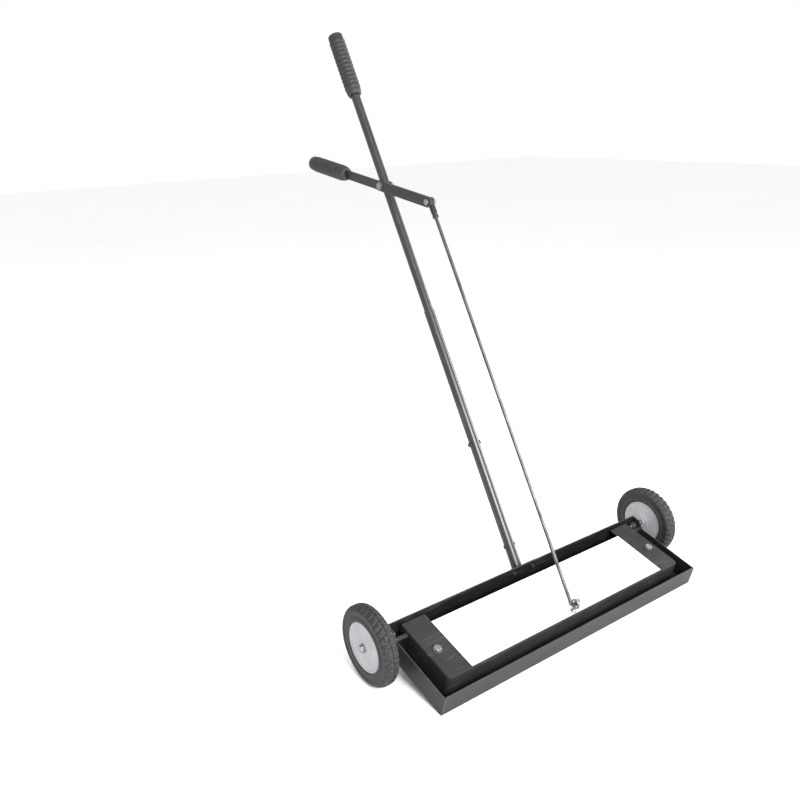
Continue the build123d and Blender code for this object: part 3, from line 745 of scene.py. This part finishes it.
# %% [markdown]
# ## Lifting eye and split pin
# The eye is a closed ring forged on a short threaded shank, with a shoulder that sits on the cover. A
# real split pin is half-round wire folded double. Folded, it is a round pin with a loop at its head, so
# it is drawn as one round wire here. Both pieces are small but they catch the light.

# %% Lifting eye
eye_ring_radius = 9.5
eye_wire_radius = 2.5
eye_rise = 20.3 * MM


def lifting_eye():
    low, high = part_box("lift_eye")
    ring_centre = Vector(((low[0] + high[0]) / 2, eye_centre.y, eye_centre.z))
    angles = [2 * math.pi * step / 24 for step in range(24)]
    wire = [(eye_ring_radius + eye_wire_radius * math.cos(angle), eye_wire_radius * math.sin(angle))
            for angle in angles]
    mesh = bmesh.new()
    turned(mesh, wire, placed(ring_centre, across), 64)
    shank = [(0, -10), (3.1, -10), (3.5, -9.5), (3.5, 0), (6.1, 0), (6.5, 0.4), (6.5, 2.4), (6.0, 3.0),
             (4.4, 3.4), (3.4, 4.6), (3.2, 7.0), (3.3, 9.2), (0, 9.2)]
    turned(mesh, shank, placed(ring_centre - tray_up * eye_rise, tray_up), 48)
    finish_piece(mesh, "lifting_eye_forged", "carrier", ["lift_eye"], zinc_plate, 50)


lifting_eye()

# %% Split pin
pin_wire_radius = 1.0
loop_radius = 2.6 * MM
loop_rise = 9.3 * MM
leg = Vector((middle("rod_split_pin").x, eye_centre.y, eye_centre.z))
loop_centre = leg + tray_up * loop_rise
pin_points = [leg - tray_up * 7 * MM + tray_back * 1.5 * MM, leg - tray_up * 4.5 * MM,
              leg + tray_up * 6 * MM]
for step in range(13):
    angle = math.radians(-60 + 300 * step / 12)
    way = tray_back * math.cos(angle) + tray_up * math.sin(angle)
    pin_points.append(loop_centre + way * loop_radius)
bent_rod("split_pin_wire", pin_points, pin_wire_radius, "rod", ["rod_split_pin"], zinc_plate)

# %% [markdown]
# ## Studio
# A plain white floor, a wide soft light above, a soft light in front for the tray's face, a tall strip
# at the right that draws a bright line down the tubes, and an even white surround. The floor is matt,
# so it takes only a soft shadow. The standard view transform keeps white paper white, as a catalogue
# print does.

# %% Floor
def studio_floor():
    mesh = bmesh.new()
    reach = 14.0
    height = -0.5 * MM
    corners = [(-reach, -reach), (reach, -reach), (reach, reach), (-reach, reach)]
    mesh.faces.new([mesh.verts.new((x, y, height)) for x, y in corners])
    data = bpy.data.meshes.new("floor")
    mesh.to_mesh(data)
    mesh.free()
    floor = add_object("floor", data)
    finish, tree, place = start_finish("matt_white_floor")
    cloud = add_node(tree, "ShaderNodeTexNoise", {"Scale": 1 / 0.9, "Detail": 2.0}, {"Vector": place})
    paper = add_node(tree, "ShaderNodeMixRGB", {"Color1": linear("F6F6F6"), "Color2": linear("FBFBFB")},
                     {"Fac": cloud.outputs["Fac"]})
    dull = add_node(tree, "ShaderNodeMapRange", {"To Min": 0.85, "To Max": 0.95},
                    {"Value": cloud.outputs["Fac"]})
    flat = add_node(tree, "ShaderNodeBump", {"Distance": 0.01 * MM}, {"Height": cloud.outputs["Fac"]})
    surface = {"IOR": 1.4, "Specular IOR Level": 0.2}
    end_finish(tree, surface, paper.outputs["Color"], dull.outputs["Result"], flat.outputs["Normal"])
    data.materials.append(finish)


studio_floor()

# %% Lights
def soft_light(name, place, target, width, height, power):
    data = bpy.data.lights.new(name, "AREA")
    data.shape = "RECTANGLE"
    data.size = width
    data.size_y = height
    data.energy = power
    light = add_object(name, data)
    light.location = place
    light.rotation_euler = (Vector(target) - Vector(place)).to_track_quat("-Z", "Y").to_euler()
    print(name, "power", power, "W")


soft_light("overhead_softbox", (-0.8, -1.9, 3.2), (0, -0.2, 0.2), width=2.6, height=2.0, power=15)
soft_light("right_strip", (3.0, -1.0, 0.9), (0, -0.1, 0.7), width=0.9, height=2.4, power=110)
soft_light("front_softbox", (-0.5, -2.9, 1.7), (0, -0.4, 0.1), width=1.4, height=1.0, power=150)

world = bpy.data.worlds.new("white_surround")
world.use_nodes = True
background = world.node_tree.nodes["Background"]
background.inputs["Color"].default_value = (1, 1, 1, 1)
background.inputs["Strength"].default_value = 1.0
bpy.context.scene.world = world
bpy.context.scene.view_settings.view_transform = "Standard"

# %% [markdown]
# ## Camera
# The viewpoint is from the front left, a little below the top of the handle, with a slightly wide lens.
# The camera is set by its position, the direction it looks in and which way is up.

# %% Camera
def look(place, forward, up, lens):
    data = bpy.data.cameras.new("camera")
    data.lens = lens
    data.sensor_width = 36
    data.clip_end = 60
    camera = add_object("camera", data)
    back = -Vector(forward).normalized()
    right = Vector(up).cross(back).normalized()
    true_up = back.cross(right)
    turn = Matrix((right, true_up, back)).transposed().to_4x4()
    camera.matrix_world = Matrix.Translation(place) @ turn
    bpy.context.scene.camera = camera
    print("camera at", [round(v, 3) for v in place], "lens", lens)


viewpoint = (-1.2107, -1.5402, 1.1162)
view_way = (0.54847, 0.76922, -0.32785)
view_up = (0.21358, 0.2502, 0.94434)
lens_mm = 37.25
look(viewpoint, view_way, view_up, lens_mm)
